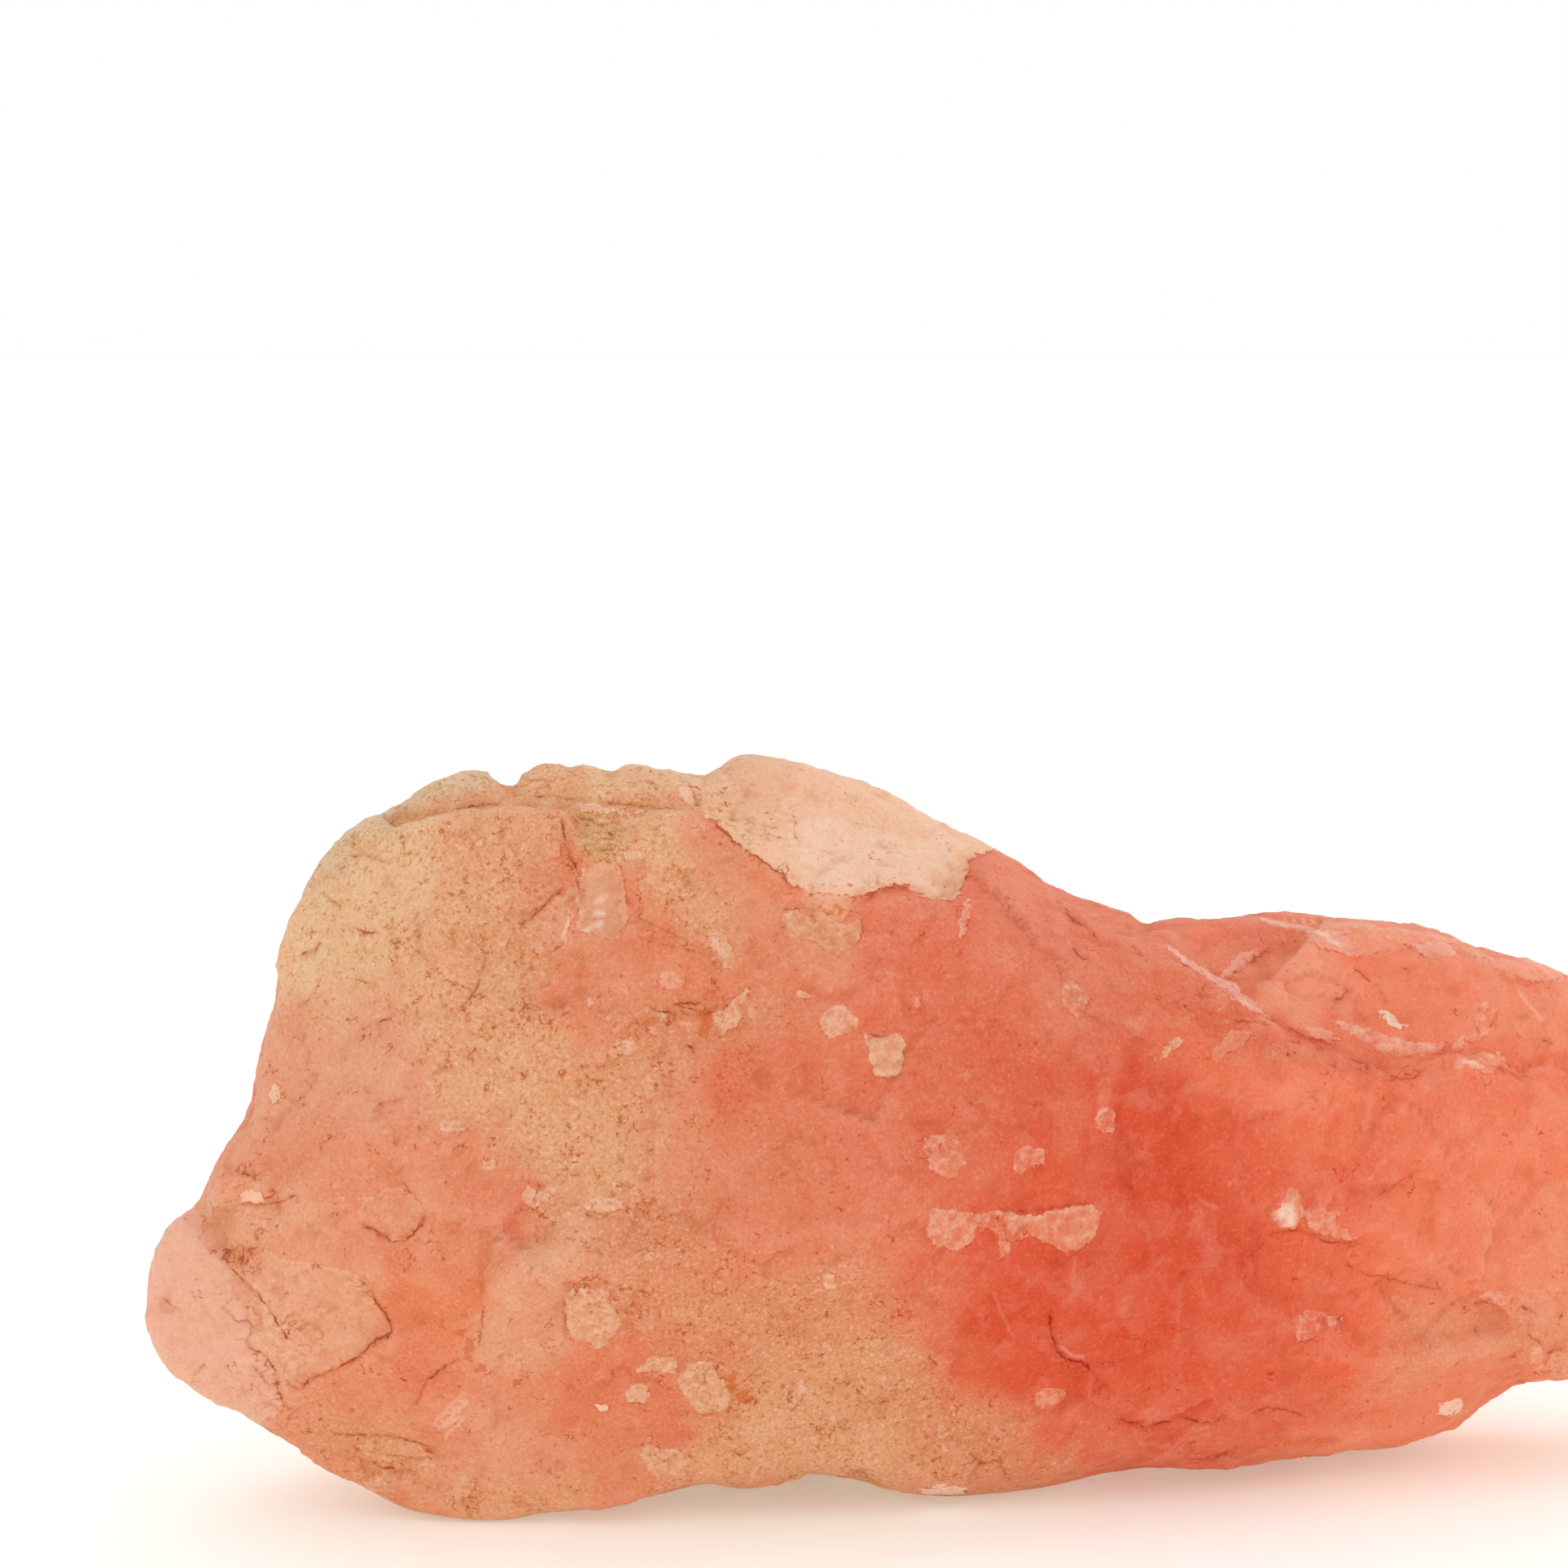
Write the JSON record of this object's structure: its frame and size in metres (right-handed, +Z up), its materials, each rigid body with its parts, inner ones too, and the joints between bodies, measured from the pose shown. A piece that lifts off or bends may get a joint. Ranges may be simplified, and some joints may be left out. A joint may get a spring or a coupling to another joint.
{
  "type": "rough rose quartz",
  "caption": "Rough broken lump of rose quartz with a convex face, a pale chipped top edge and a thin end lobe, resting on its worn underside.",
  "frame": {"origin": "centre of the stone's box at the level it rests on", "axes": "+X along the stone's length towards its low blunt end, -Y towards its broad convex face, +Z up"},
  "size_m": [0.1154, 0.0476, 0.0511],
  "materials": {
    "rose_quartz": "rough broken quartz, cloudy pink to coral with pale frosted chips, tan iron staining and fine brown specks"
  },
  "bodies": {
    "root": {"rose_quartz": "rose_quartz"}
  },
  "joints": []
}
